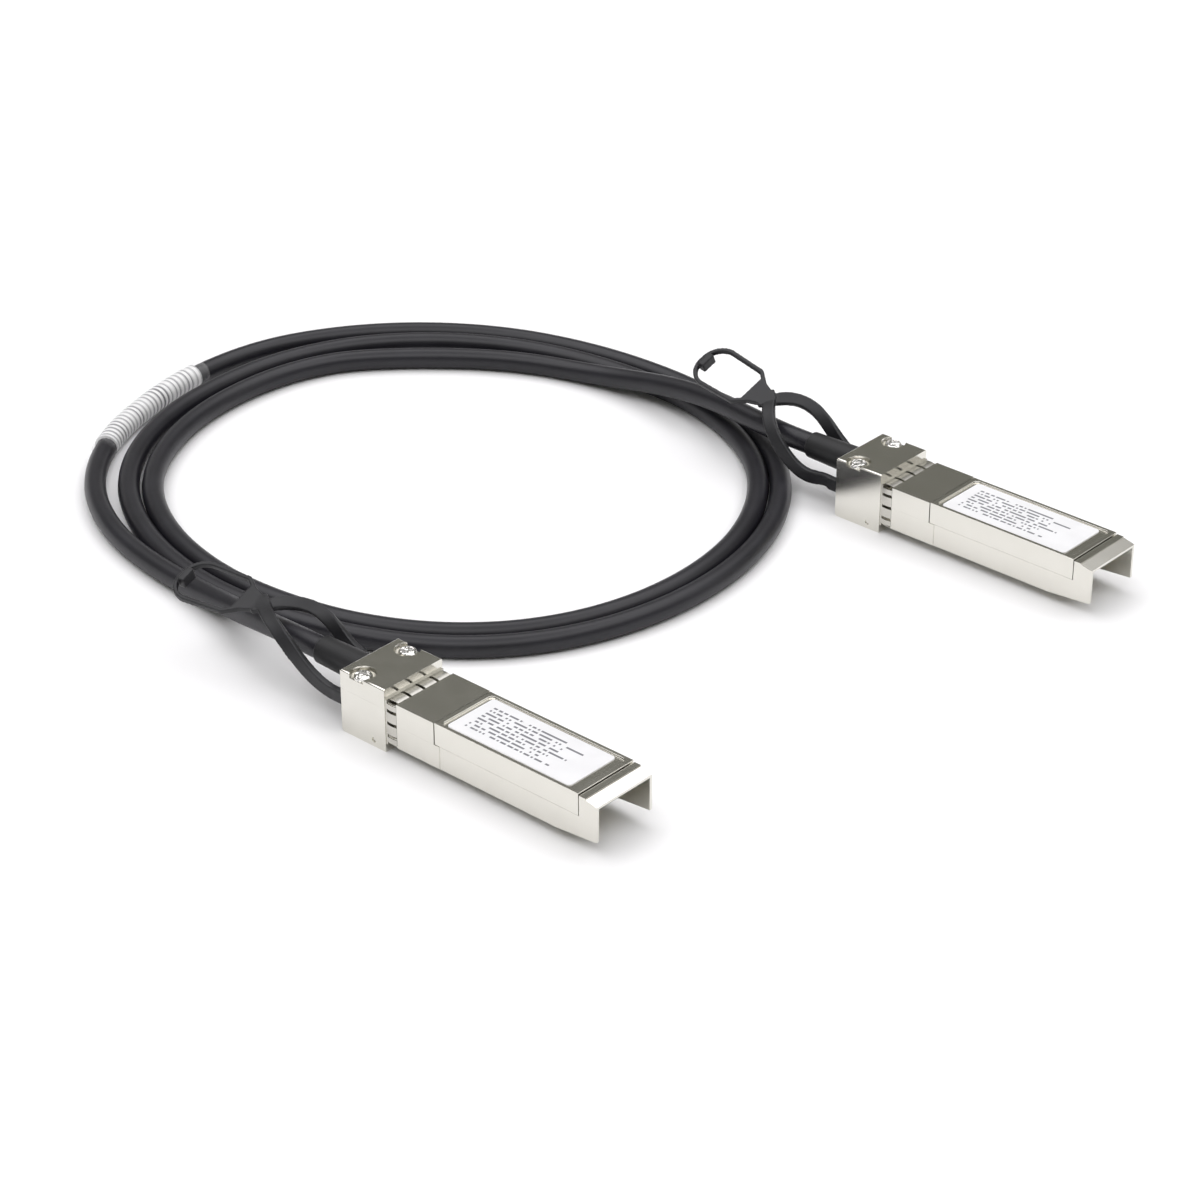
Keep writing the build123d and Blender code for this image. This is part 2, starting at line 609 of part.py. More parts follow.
def tube(route, diameter, name):
    """A round cord along a soft path."""
    path = soft_path(route, name)
    start = Plane(origin=path @ 0, z_dir=path % 0)
    piece = sweep(start * Circle(diameter / 2), path=path)
    ideal = pi * diameter**2 / 4 * path.length
    print(name, "length", round(path.length, 1), "volume over section times length", piece.volume / ideal)
    return piece


def cable_coil():
    """Outer shape of the coiled turns: a flat oval ring with rounded edges."""
    radius = CABLE_DIAMETER / 2
    outer = Pos(*COIL_CENTRE) * Ellipse(COIL_HALF_LENGTH + radius, COIL_HALF_WIDTH + radius)
    hole = Pos(*HOLE_CENTRE) * Ellipse(HOLE_HALF_LENGTH, HOLE_HALF_WIDTH)
    ring = extrude(outer - hole, amount=CABLE_DIAMETER)
    rims = ring.edges().group_by(Axis.Z)[0] + ring.edges().group_by(Axis.Z)[-1]
    return fillet(rims, COIL_EDGE)


def cable_label():
    """Wrap label: a thin sleeve round the outermost turn, bent with it."""
    bearing = radians(WRAP_BEARING)
    x = COIL_CENTRE[0] + COIL_HALF_LENGTH * cos(bearing)
    y = COIL_CENTRE[1] + COIL_HALF_WIDTH * sin(bearing)
    reach = ((x - COIL_CENTRE[0]) ** 2 + (y - COIL_CENTRE[1]) ** 2) ** 0.5
    middle = atan2(y - COIL_CENTRE[1], x - COIL_CENTRE[0])
    sweep_angle = degrees(WRAP_LENGTH / reach)
    section = Pos(reach, 0, WRAP_DIAMETER / 2) * Rot(90, 0, 0) * (
        Circle(WRAP_DIAMETER / 2) - Circle(CABLE_DIAMETER / 2)
    )
    sleeve = revolve(section, axis=Axis.Z, revolution_arc=sweep_angle)
    return Pos(*COIL_CENTRE) * Rot(0, 0, degrees(middle) - sweep_angle / 2) * sleeve


def plug_pieces(web, lean, arms):
    return {
        "lower_shell": lower_shell(),
        "upper_shell": upper_shell(),
        "front_cover": front_cover(),
        "emi_collar": emi_collar(),
        "shell_rivets": shell_rivets(),
        "top_label": top_label(),
        "strain_relief": strain_relief(),
        "cable_ferrule": cable_ferrule(),
        "wire_pairs": wire_pairs(),
        "paddle_card": paddle_card(),
        "id_chip": id_chip(),
        "release_slide": release_slide(),
        "return_springs": return_springs(),
        "pull_tab": pull_tab(web, lean, arms),
    }


nodes = {}
for suffix, place, web, lean, arms in (
    ("a", Pos(0, 0, 0), TAB_A_WEB, TAB_A_LEAN, TAB_A_ARMS),
    ("b", Pos(PLUG_B_AHEAD, PLUG_B_ASIDE, 0), TAB_B_WEB, TAB_B_LEAN, TAB_B_ARMS),
):
    for name, piece in plug_pieces(web, lean, arms).items():
        nodes[name + "_" + suffix] = place * piece
plugs_box = Compound(list(nodes.values())).bounding_box()
origin = Pos(-plugs_box.center().X, -plugs_box.center().Y, 0)
nodes["cable_coil"] = cable_coil()
nodes["cable_label"] = cable_label()
nodes["cable_tail_a"] = tube(TAIL_A_ROUTE, CABLE_DIAMETER, "cable_tail_a")
nodes["cable_tail_b"] = tube(TAIL_B_ROUTE, CABLE_DIAMETER, "cable_tail_b")

os.makedirs("parts", exist_ok=True)
for name, piece in nodes.items():
    export_step(origin * piece, os.path.join("parts", name + ".step"))
print("nodes", len(nodes), "origin", origin.position)
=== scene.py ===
# %% [markdown]
# # A direct attach cable, dressed for its photograph
#
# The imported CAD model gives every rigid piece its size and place. This lesson adds what a camera
# sees: the lie of the cable, broken edges on the castings, plating, moulded plastic and the light.
# Lengths are written in millimetres and turned into Blender's metres with one factor.

# %% Load the frame and keep the CAD box
import math

import bmesh
import bpy
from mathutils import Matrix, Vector


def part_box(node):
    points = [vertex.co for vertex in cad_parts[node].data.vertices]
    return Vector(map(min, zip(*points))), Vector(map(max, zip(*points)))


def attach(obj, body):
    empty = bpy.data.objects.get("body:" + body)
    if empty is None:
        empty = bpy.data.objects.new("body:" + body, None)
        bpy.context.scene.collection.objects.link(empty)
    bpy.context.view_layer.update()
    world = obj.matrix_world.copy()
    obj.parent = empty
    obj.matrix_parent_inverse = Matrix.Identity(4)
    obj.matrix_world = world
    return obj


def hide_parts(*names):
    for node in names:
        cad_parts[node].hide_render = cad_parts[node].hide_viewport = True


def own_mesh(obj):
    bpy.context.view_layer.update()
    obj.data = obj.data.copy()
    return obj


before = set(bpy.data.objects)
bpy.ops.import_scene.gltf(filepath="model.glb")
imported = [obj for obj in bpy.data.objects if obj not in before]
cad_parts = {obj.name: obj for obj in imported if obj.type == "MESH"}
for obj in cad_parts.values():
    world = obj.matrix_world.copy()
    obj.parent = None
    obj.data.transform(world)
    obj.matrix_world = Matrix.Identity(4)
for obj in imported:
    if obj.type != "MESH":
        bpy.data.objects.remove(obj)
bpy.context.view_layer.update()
MM = 0.001
PLUGS = ("a", "b")
CABLE_BODY = "cable_and_plugs"
print("CAD nodes:", len(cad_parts))

# %% [markdown]
# Both plugs are the same casting, so a place on a plug is easiest to say from the plug's own back
# face: x along the plug, y from its middle, z up from the table. The lower shell's box gives that
# corner for each plug.

# %% The two plugs' own origins


def plug_origin(plug):
    """The middle of the plug's back face, on the table."""
    low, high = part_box(f"lower_shell_{plug}")
    return Vector((low.x, (low.y + high.y) / 2, 0.0))


ORIGIN = {plug: plug_origin(plug) for plug in PLUGS}
print({plug: tuple(round(v / MM, 2) for v in at) for plug, at in ORIGIN.items()})

# %% [markdown]
# The photograph looks down on the cable with a long lens, from the side where both plugs point.
# The camera's stand and aim are given from the near plug, so they stay right if the model's
# origin moves.

# %% Camera
CAMERA_STAND = Vector((365.98, -350.53, 312.75)) * MM
CAMERA_AIM = Vector((3.03, 55.56, 0.0)) * MM
CAMERA_LENS = 103.63

camera_data = bpy.data.cameras.new("photo_camera")
camera_data.lens = CAMERA_LENS
camera_data.sensor_width = 36.0
camera_data.clip_start, camera_data.clip_end = 0.01, 20.0
camera = bpy.data.objects.new("photo_camera", camera_data)
camera.location = ORIGIN["a"] + CAMERA_STAND
camera.rotation_euler = (CAMERA_AIM - CAMERA_STAND).to_track_quat("-Z", "Y").to_euler()
bpy.context.scene.collection.objects.link(camera)
bpy.context.scene.camera = camera
print("camera", tuple(round(v, 4) for v in camera.location))

# %% [markdown]
# The cable is one length of round copper cable. It leaves each plug straight, because the boot
# holds it, drops to the table and lies there in a loose coil, each turn inside the one before.
# A NURBS spline of order 3 bends as a springy cable does: it touches the middle of every run
# between its points. The turns come from a loop over a list of radii read from the
# photograph, one for each step round the coil. A spline of this order runs a little inside its
# points, so the radii are let out by that share.

# %% The cable's line
CABLE_DIAMETER = 4.2
TABLE_LIE = CABLE_DIAMETER / 2
EXIT_HEIGHT = 8.5
TAIL_A = [(4, 0, EXIT_HEIGHT), (-9.5, 0, EXIT_HEIGHT), (-20, 0, EXIT_HEIGHT), (-45, 5.6, 2.9),
          (-66, 7.8, TABLE_LIE)]
TAIL_B = [(-76, 114, TABLE_LIE), (-56, 121.2, TABLE_LIE), (-31, 121.6, 7),
          (-6, 116.4, EXIT_HEIGHT), (4.2, 116.4, EXIT_HEIGHT), (18.7, 116.4, EXIT_HEIGHT)]
COIL_CENTRE = (-49.75, 67.6)
COIL_START, COIL_STEP = -120, -15
COIL_RADII = [63.7, 65.7, 66.4, 66.1, 67.2, 67.8, 66.2, 64.5, 63.0, 61.7, 61.6, 63.1,
              64.5, 65.8, 66.4, 66.4, 66.3, 66.4, 66.1, 64.5, 61.7, 59.4, 58.4, 57.9,
              58.2, 59.2, 59.7, 59.9, 60.0, 60.8, 60.8, 59.7, 58.5, 57.4, 57.3, 58.9,
              60.3, 61.6, 61.9, 62.1, 62.1, 62.1, 61.6, 59.9, 57.5, 55.2, 54.1, 53.6,
              53.9, 54.6, 54.6, 54.7, 54.9, 55.4, 54.6]
LET_OUT = 1 / math.cos(math.radians(COIL_STEP) / 2)


def coil_point(step, radius):
    """One point of the coil, on the table."""
    bearing = math.radians(COIL_START + step * COIL_STEP)
    return (COIL_CENTRE[0] + radius * LET_OUT * math.cos(bearing),
            COIL_CENTRE[1] + radius * LET_OUT * math.sin(bearing), TABLE_LIE)


turns = [coil_point(step, radius) for step, radius in enumerate(COIL_RADII)]
route = [ORIGIN["a"] + Vector(point) * MM for point in TAIL_A + turns + TAIL_B]

cable_curve = bpy.data.curves.new("cable", "CURVE")
cable_curve.dimensions = "3D"
cable_curve.resolution_u = 8
line = cable_curve.splines.new("NURBS")
line.points.add(len(route) - 1)
for point, place in zip(line.points, route):
    point.co = (*place, 1.0)
    point.radius = CABLE_DIAMETER / 2 * MM
line.order_u = 3
line.use_endpoint_u = True
cable = bpy.data.objects.new("cable", cable_curve)
bpy.context.scene.collection.objects.link(cable)

bare_line = bpy.data.meshes.new_from_object(cable)
cable_points = [vertex.co.copy() for vertex in bare_line.vertices]
bpy.data.meshes.remove(bare_line)
cable_length = sum((b - a).length for a, b in zip(cable_points, cable_points[1:]))
print("cable length", round(cable_length, 4), "m over", len(cable_points), "points")

# %% [markdown]
# The curve's own bevel gives the round jacket. The cable's exit is at the end of the near
# plug's boot; its far end goes back into the object, at the other plug.

cable_curve.bevel_depth = 1.0
cable_curve.bevel_resolution = 6
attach(cable, CABLE_BODY)
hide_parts("cable_coil", "cable_tail_a", "cable_tail_b")

# %% [markdown]
# A white identification label is wrapped round the outermost turn, with a clear film over it
# that is a little longer. Both follow the points read from the cable's own spline, so they sit
# on the cable wherever it lies. A curve with a bevel makes the sleeve, and the distance along
# it is kept as an attribute so that the print can run across the label.

# %% The wrap label's stretch of cable
LABEL_START_BEARING, FILM_LEAD = -147.8, 2
LABEL_LENGTH, LABEL_DIAMETER = 33.0, 4.75
FILM_LENGTH, FILM_DIAMETER = 38.0, 4.95
TAIL_REACH = 70.0


def bearing_of(point):
    """Degrees round the coil, from the coil's centre."""
    away = (point - ORIGIN["a"]) / MM
    return math.degrees(math.atan2(away.y - COIL_CENTRE[1], away.x - COIL_CENTRE[0]))


def stretch_of_cable(bearing, length):
    """The cable's points from a bearing on the first turn, over a length in millimetres."""
    first = next(i for i, p in enumerate(cable_points)
                 if bearing_of(p) < bearing
                 and (p - cable_points[0]).length > TAIL_REACH * MM)
    stretch, run = [cable_points[first]], 0.0
    for before, after in zip(cable_points[first:], cable_points[first + 1:]):
        if run >= length * MM:
            break
        run += (after - before).length
        stretch.append(after)
    return stretch


# %% The wrap label and its film


def link_piece(name, mesh, body):
    """A new piece of the object, which moves with one CAD body."""
    made = bpy.data.objects.new(name, mesh)
    bpy.context.scene.collection.objects.link(made)
    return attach(made, body)


def cable_sleeve(name, bearing, length, diameter):
    """A thin sleeve on a stretch of the cable, with the distance along it as an attribute."""
    stretch = stretch_of_cable(bearing, length)
    path = bpy.data.curves.new(name, "CURVE")
    path.dimensions = "3D"
    path.bevel_depth, path.bevel_resolution, path.use_fill_caps = diameter / 2 * MM, 8, True
    spline = path.splines.new("POLY")
    spline.points.add(len(stretch) - 1)
    for point, place in zip(spline.points, stretch):
        point.co = (place.x, place.y, max(place.z, diameter / 2 * MM), 1.0)
    guide = bpy.data.objects.new(name, path)
    mesh = bpy.data.meshes.new_from_object(guide)
    bpy.data.objects.remove(guide)
    along = mesh.attributes.new("along", "FLOAT", "POINT")
    for vertex in mesh.vertices:
        nearest = min(range(len(stretch)), key=lambda i: (stretch[i] - vertex.co).length)
        along.data[vertex.index].value = sum(
            (b - a).length for a, b in zip(stretch[:nearest], stretch[1:nearest + 1])) / MM
    mesh.shade_smooth()
    return link_piece(name, mesh, CABLE_BODY)


wrap_label = cable_sleeve("wrap_label", LABEL_START_BEARING, LABEL_LENGTH, LABEL_DIAMETER)
wrap_film = cable_sleeve("wrap_clear_film", LABEL_START_BEARING + FILM_LEAD, FILM_LENGTH,
                         FILM_DIAMETER)
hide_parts("cable_label")
print("wrap label", len(wrap_label.data.polygons), "faces")

# %% [markdown]
# A die-cast edge is never razor sharp: it has a small round that catches the light as a bright
# line, and without it metal looks drawn. Each casting's CAD mesh is copied, its doubled points
# are merged, flat areas are joined into single faces, and every edge sharper than a limit gets a
# narrow bevel. A Weighted Normal modifier keeps the flats flat.

# %% Copies of CAD nodes, and pieces from shapes
DOUBLES = 0.001


def merged_copy(node):
    """A CAD node's mesh with its doubled points merged, ready to be reshaped."""
    shape = bmesh.new()
    shape.from_mesh(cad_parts[node].data)
    bmesh.ops.remove_doubles(shape, verts=shape.verts, dist=DOUBLES * MM)
    return shape


def piece_from(shape, name, body):
    """A finished shape as a piece of the object."""
    mesh = bpy.data.meshes.new(name)
    shape.to_mesh(mesh)
    shape.free()
    return link_piece(name, mesh, body)


# %% Break the edges of the rigid pieces
FLAT_ANGLE, SHARP_ANGLE, CREASE_ANGLE, BEVEL_SEGMENTS = 1.0, 32, 48, 2
CASTING_EDGES = {"lower_shell": 0.08, "upper_shell": 0.10, "front_cover": 0.06}
BOOT_EDGE = 0.2


def broken_edges(name, node, width):
    """A copy of a CAD node with its sharp edges rounded by a width in millimetres."""
    shape = merged_copy(node)
    bmesh.ops.dissolve_limit(shape, angle_limit=math.radians(FLAT_ANGLE), verts=shape.verts,
                             edges=shape.edges)
    sharp = [edge for edge in shape.edges
             if edge.is_manifold and edge.calc_face_angle() > math.radians(SHARP_ANGLE)]
    bmesh.ops.bevel(shape, geom=sharp, offset=width * MM, offset_type="OFFSET", affect="EDGES",
                    segments=BEVEL_SEGMENTS, profile=0.5, material=-1, clamp_overlap=True)
    for face in shape.faces:
        face.smooth = True
    for edge in shape.edges:
        edge.smooth = (not edge.is_manifold
                       or edge.calc_face_angle() < math.radians(CREASE_ANGLE))
    made = piece_from(shape, name, CABLE_BODY)
    flats = made.modifiers.new("flats", "WEIGHTED_NORMAL")
    flats.keep_sharp = True
    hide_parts(node)
    print(name, len(sharp), "edges,", len(made.data.polygons), "faces")
    return made


castings, boots = [], []
for plug in PLUGS:
    for node, width in CASTING_EDGES.items():
        castings.append(broken_edges(f"{node}_cast_{plug}", f"{node}_{plug}",
                                     width))
    boots.append(broken_edges(f"boot_moulded_{plug}", f"strain_relief_{plug}",
                              BOOT_EDGE))

# %% [markdown]
# The pull tab is moulded in one shot of soft plastic, so its arms, web and ring flow into each
# other with no inside corner. A Remesh modifier turns the copy of the CAD tab into one skin of
# even small faces, and a Smooth modifier lets the corners flow.

# %% Pull tabs
TAB_GRAIN, TAB_ROUNDS = 0.16, 10


def flowed_tab(plug):
    """The plug's pull tab, with its corners flowed together."""
    node = f"pull_tab_{plug}"
    made = piece_from(merged_copy(node), f"pull_tab_moulded_{plug}", f"tab_{plug}")
    skin = made.modifiers.new("skin", "REMESH")
    skin.mode, skin.voxel_size, skin.use_smooth_shade = "VOXEL", TAB_GRAIN * MM, True
    flow = made.modifiers.new("flow", "SMOOTH")
    flow.factor, flow.iterations = 0.5, TAB_ROUNDS
    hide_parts(node)
    print(made.name, len(made.data.polygons), "faces before the skin")
    return made


tabs = [flowed_tab(plug) for plug in PLUGS]

# %% [markdown]
# Each lid carries a white film label with small round corners. The sheet is one outline, filled
# and given its thickness. Its UV map holds millimetres from the label's middle, so that the print
# keeps its size and lies the same way on both plugs.

# %% Label sheets
LABEL_ROUND, ROUND_STEPS = 0.7, 6


def label_sheet(plug):
    """A thin sheet with rounded corners, as large as the CAD label."""
    low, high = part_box(f"top_label_{plug}")
    middle, half, radius = (low + high) / 2, (high - low) / 2, LABEL_ROUND * MM
    shape = bmesh.new()
    outline = []
    for corner, (ahead, aside) in enumerate(((1, 1), (-1, 1), (-1, -1), (1, -1))):
        for step in range(ROUND_STEPS + 1):
            angle = math.radians(90 * (corner + step / ROUND_STEPS))
            outline.append(shape.verts.new((
                middle.x + ahead * (half.x - radius) + radius * math.cos(angle),
                middle.y + aside * (half.y - radius) + radius * math.sin(angle), low.z)))
    lifted = bmesh.ops.extrude_face_region(shape, geom=[shape.faces.new(outline)])["geom"]
    bmesh.ops.translate(shape, vec=(0, 0, high.z - low.z),
                        verts=[item for item in lifted if isinstance(item, bmesh.types.BMVert)])
    bmesh.ops.recalc_face_normals(shape, faces=shape.faces)
    flat = shape.loops.layers.uv.new("label_mm")
    for face in shape.faces:
        for loop in face.loops:
            loop[flat].uv = (loop.vert.co.xy - middle.xy) / MM
    made = piece_from(shape, f"label_sheet_{plug}", CABLE_BODY)
    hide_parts(f"top_label_{plug}")
    return made


label_sheets = [label_sheet(plug) for plug in PLUGS]
print("label sheets", len(label_sheets[0].data.polygons), "faces each")

# %% [markdown]
# The card's edge carries a row of gold pads on each face, which the host's socket wipes. A pad is
# one cube, scaled flat, copied across the card and set on its surface.

# %% Gold pads on the card's edge
PAD_COUNT, PAD_PITCH, PAD_WIDTH = 10, 0.8, 0.5
PAD_LENGTH, PAD_THICKNESS, PAD_SETBACK, PAD_EDGE = 3.2, 0.06, 0.5, 0.015


def card_pads(plug):
    """Two rows of contact pads, on the top and the underside of the card's front edge."""
    low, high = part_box(f"paddle_card_{plug}")
    middle = (low.y + high.y) / 2
    shape = bmesh.new()
    for face_height in (low.z, high.z):
        for count in range(PAD_COUNT):
            pad = bmesh.ops.create_cube(shape, size=1.0)["verts"]
            bmesh.ops.scale(shape, verts=pad,
                            vec=Vector((PAD_LENGTH, PAD_WIDTH, PAD_THICKNESS)) * MM)
            across = (count - (PAD_COUNT - 1) / 2) * PAD_PITCH * MM
            bmesh.ops.translate(shape, verts=pad, vec=(
                high.x - (PAD_SETBACK + PAD_LENGTH / 2) * MM, middle + across, face_height))
    bmesh.ops.bevel(shape, geom=shape.edges[:], offset=PAD_EDGE * MM, offset_type="OFFSET",
                    affect="EDGES", segments=1, profile=0.5, material=-1)
    return piece_from(shape, f"card_pads_{plug}", CABLE_BODY)


pads = [card_pads(plug) for plug in PLUGS]
print("pads per card", 2 * PAD_COUNT)

# %% [markdown]
# Inside the rear block two coil springs push the slide home. They shorten as a tab is pulled;
# here copies of the CAD springs, each with a mesh of its own, stand at rest in their place.
# They end a hair short of the slide's lugs, so the two don't cut into each other when the tab is
# pulled.


def working_springs(plug):
    """A copy of the plug's two return springs."""
    node = f"return_springs_{plug}"
    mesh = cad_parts[node].data.copy()
    mesh.name = f"springs_{plug}"
    made = link_piece(f"springs_{plug}", mesh, CABLE_BODY)
    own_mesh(made)
    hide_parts(node)
    return made


springs = [working_springs(plug) for plug in PLUGS]

# %% [markdown]
# Shader maths reads best as Python. A small class wraps one socket of a material: adding or
# multiplying two of them adds Math nodes, and one method makes any other node from its type, its
# settings and its inputs.

# %% Sockets as values


class Socket:
    """One output of a node, in a material's tree."""

    def __init__(self, tree, output=None):
        self.tree, self.output = tree, output

    def node(self, kind, settings=None, inputs=None, output=0):
        """Adds a node, sets it up, feeds its sockets and returns one of its outputs."""
        made = self.tree.nodes.new(kind)
        for name, value in (settings or {}).items():
            if name == "stops":
                for place, (at, colour) in enumerate(value):
                    stops = made.color_ramp.elements
                    stop = stops[place] if place < 2 else stops.new(at)
                    stop.position, stop.color = at, colour
            else:
                setattr(made, name, value)
        for key, value in (inputs or {}).items():
            if isinstance(value, Socket):
                self.tree.links.new(value.output, made.inputs[key])
            else:
                made.inputs[key].default_value = value
        return Socket(self.tree, made.outputs[output] if made.outputs else None)

    def math(self, operation, first, second):
        """A Math node on two values."""
        return self.node("ShaderNodeMath", {"operation": operation}, {0: first, 1: second})

    def __add__(self, other):
        return self.math("ADD", self, other)

    def __sub__(self, other):
        return self.math("SUBTRACT", self, other)

    def __mul__(self, other):
        return self.math("MULTIPLY", self, other)

    def __rsub__(self, other):
        return self.math("SUBTRACT", other, self)

    __radd__, __rmul__ = __add__, __mul__

    def between(self, low, high):
        """0 below low, 1 above high and a smooth step from one to the other."""
        return self.node("ShaderNodeMapRange", {"interpolation_type": "SMOOTHSTEP"},
                         {"Value": self, "From Min": low, "From Max": high})

    def cell(self, size):
        """Which whole step of a size this value is in."""
        return self.math("FLOOR", self * (1 / size), 0.0)

    def chance(self, other):
        """A number from 0 to 1 that is settled by two whole numbers."""
        pair = self.node("ShaderNodeCombineXYZ", None, {0: self, 1: other})
        return self.node("ShaderNodeTexWhiteNoise", {"noise_dimensions": "2D"}, {"Vector": pair})

    def part(self, index):
        """One of the three numbers of a vector."""
        return self.node("ShaderNodeSeparateXYZ", None, {0: self}, output=index)

    def mix(self, first, second):
        """A colour that goes from first to second as this value goes from 0 to 1."""
        return self.node("ShaderNodeMix", {"data_type": "RGBA"}, {0: self, 6: first, 7: second},
                         output=2)

    def noise(self, grain, detail=2.0, roughness=0.5):
        """Cloudy noise whose lumps are about grain millimetres across; self is the place."""
        return self.node("ShaderNodeTexNoise", None,
                         {"Vector": self, "Scale": 1 / (grain * MM), "Detail": detail,
                          "Roughness": roughness})

    def bump(self, depth, strength=1.0):
        """A normal raised by this height, with depth in millimetres."""
        return self.node("ShaderNodeBump", None,
                         {"Height": self, "Distance": depth * MM, "Strength": strength})


# %% [markdown]
# Every finish is a Principled surface. What varies over it comes from noise on Object
# coordinates; what is the same all over is set straight on the shader.

# %% A finish and where it goes


def new_finish(name):
    """A material with an empty tree, and its Object coordinates."""
    material = bpy.data.materials.new(name)
    material.use_nodes = True
    material.node_tree.nodes.clear()
    place = Socket(material.node_tree).node("ShaderNodeTexCoord", output="Object")
    return material, place


def close_finish(material, **inputs):
    """Adds the Principled surface with these inputs and joins it to the material's output."""
    tree = Socket(material.node_tree)
    surface = tree.node("ShaderNodeBsdfPrincipled", None,
                        {key.replace("_", " "): value for key, value in inputs.items()})
    tree.node("ShaderNodeOutputMaterial", None, {"Surface": surface})
    return material


def dress(material, *objects):
    """Gives objects their only material."""
    for each in objects:
        each.data.materials.clear()
        each.data.materials.append(material)


def cad(node):
    """Both plugs' copies of a CAD node."""
    return [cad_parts[f"{node}_{plug}"] for plug in PLUGS]


# %% [markdown]
# The castings are zinc under a thin satin plating. It mirrors its surroundings a little blurred,
# with faint cloudy patches where the plating took differently and the finest grain from the mould.

# %% Plated casting


def plated(name, colour, dull_colour, roughness, grain):
    """A satin metal plating over a casting or a stamping."""
    material, place = new_finish(name)
    cloud = place.noise(3.5, 4.0, 0.6)
    fine = place.noise(grain, 3.0, 0.6)
    return close_finish(
        material, Base_Color=cloud.between(0.35, 0.7).mix(dull_colour, colour), Metallic=1.0,
        Roughness=roughness + 0.03 * cloud + 0.04 * fine, Normal=fine.bump(0.0006, 0.4))


casting_finish = plated("plated_casting", (0.76, 0.745, 0.69, 1), (0.74, 0.725, 0.67, 1),
                        0.16, 0.3)
spring_finish = plated("spring_plating", (0.60, 0.585, 0.54, 1), (0.56, 0.545, 0.50, 1), 0.22, 0.5)
slide_finish = plated("slide_steel", (0.62, 0.61, 0.59, 1), (0.52, 0.51, 0.49, 1), 0.28, 0.4)
dress(casting_finish, *castings)
dress(spring_finish, *cad("emi_collar"), *springs)
dress(slide_finish, *cad("release_slide"))

# %% [markdown]
# The rivets are hammered over, so their heads are lumpy and the light breaks on them.

# %% Hammered rivets
rivet_finish, place = new_finish("rivet_steel")
blows = place.noise(0.9, 1.0, 0.4)
close_finish(rivet_finish, Base_Color=blows.between(0.3, 0.7).mix(
    (0.68, 0.67, 0.64, 1), (0.86, 0.85, 0.82, 1)), Metallic=1.0,
    Roughness=0.16 + 0.1 * place.noise(0.3), Normal=blows.bump(0.7, 1.0))
dress(rivet_finish, *cad("shell_rivets"))

# %% [markdown]
# The cable jacket, the tabs and the boots are black plastic of three kinds: the jacket is smooth
# and slightly waxy, the tab has a moulded grain and the boot is a duller rubber.

# %% Black plastics


def black_plastic(name, colour, worn_colour, roughness, grain, depth):
    """A charcoal moulded plastic with a fine grain."""
    material, place = new_finish(name)
    cloud = place.noise(6.0, 3.0)
    fine = place.noise(grain, 2.0, 0.6)
    return close_finish(
        material, Base_Color=cloud.between(0.3, 0.75).mix(colour, worn_colour),
        Roughness=roughness + 0.1 * fine, Specular_IOR_Level=0.45,
        Normal=fine.bump(depth, 0.6))


jacket_finish = black_plastic("cable_jacket", (0.009, 0.0085, 0.012, 1), (0.013, 0.0125, 0.017, 1),
                              0.34, 0.5, 0.015)
tab_finish = black_plastic("tab_plastic", (0.010, 0.010, 0.012, 1), (0.015, 0.015, 0.017, 1),
                           0.40, 0.16, 0.012)
boot_finish = black_plastic("boot_plastic", (0.008, 0.008, 0.009, 1), (0.012, 0.012, 0.013, 1),
                            0.46, 0.25, 0.015)
dress(jacket_finish, cable)
dress(tab_finish, *tabs)
dress(boot_finish, *boots)

# %% [markdown]
# The label plates are white film with lines of fine grey dashes, which stand for print and spell
# nothing: a dash is there or not by a chance number for its row and its place. The wrap label has
# bars across the cable, each with its own shade, and a clear film covers it.

# %% Labels
DASH, ROW, INK_HALF_LENGTH, INK_HALF_WIDTH = 0.4, 1.0, 11.6, 4.0
label_finish, place = new_finish("label_film")
flat = place.node("ShaderNodeUVMap", {"uv_map": "label_mm"})
ahead, aside = flat.part(0), flat.part(1)
row = aside.cell(ROW)
row_end = INK_HALF_LENGTH * (0.9 * row.chance(3.0) + 0.1)
in_step = aside * (1 / ROW) - row
in_row = in_step.between(0.28, 0.34) * (1 - in_step.between(0.72, 0.78))
in_block = (ahead + INK_HALF_LENGTH).between(0.0, 0.05) * (row_end - ahead).between(0.0, 0.05)
in_block = in_block * (INK_HALF_WIDTH - aside.math("ABSOLUTE", aside, 0.0)).between(0.0, 0.05)
ink = ahead.cell(DASH).chance(row).between(0.32, 0.34) * in_row * in_block
fibre = place.noise(0.25, 3.0)
paper = place.noise(5.0).between(0.3, 0.7).mix((0.80, 0.80, 0.81, 1), (0.84, 0.84, 0.85, 1))
close_finish(label_finish, Base_Color=ink.mix(paper, (0.18, 0.18, 0.20, 1)),
             Roughness=0.42 + 0.1 * fibre, Normal=fibre.bump(0.008, 0.4))
dress(label_finish, *label_sheets)

BAR_PITCH = 1.4
wrap_finish, place = new_finish("wrap_film")
along = place.node("ShaderNodeAttribute", {"attribute_name": "along"}, output="Fac")
bars = along.math("PINGPONG", along, BAR_PITCH / 2) * (2 / BAR_PITCH)
shade = 0.3 + 0.7 * (along + BAR_PITCH / 2).cell(BAR_PITCH).chance(1.0)
close_finish(wrap_finish, Base_Color=(bars.between(0.5, 0.62) * shade).mix(
    (0.86, 0.86, 0.86, 1), (0.08, 0.08, 0.09, 1)),
    Roughness=0.35 + 0.1 * place.noise(0.3), Normal=place.noise(1.5).bump(0.05, 0.5))
dress(wrap_finish, wrap_label)

film_finish, place = new_finish("clear_film")
close_finish(film_finish, Base_Color=(0.9, 0.9, 0.9, 1), Roughness=0.12 + 0.08 * place.noise(0.8),
             Alpha=0.06 + 0.08 * place.noise(2.0), Normal=place.noise(2.0).bump(0.06, 0.5))
dress(film_finish, wrap_film)

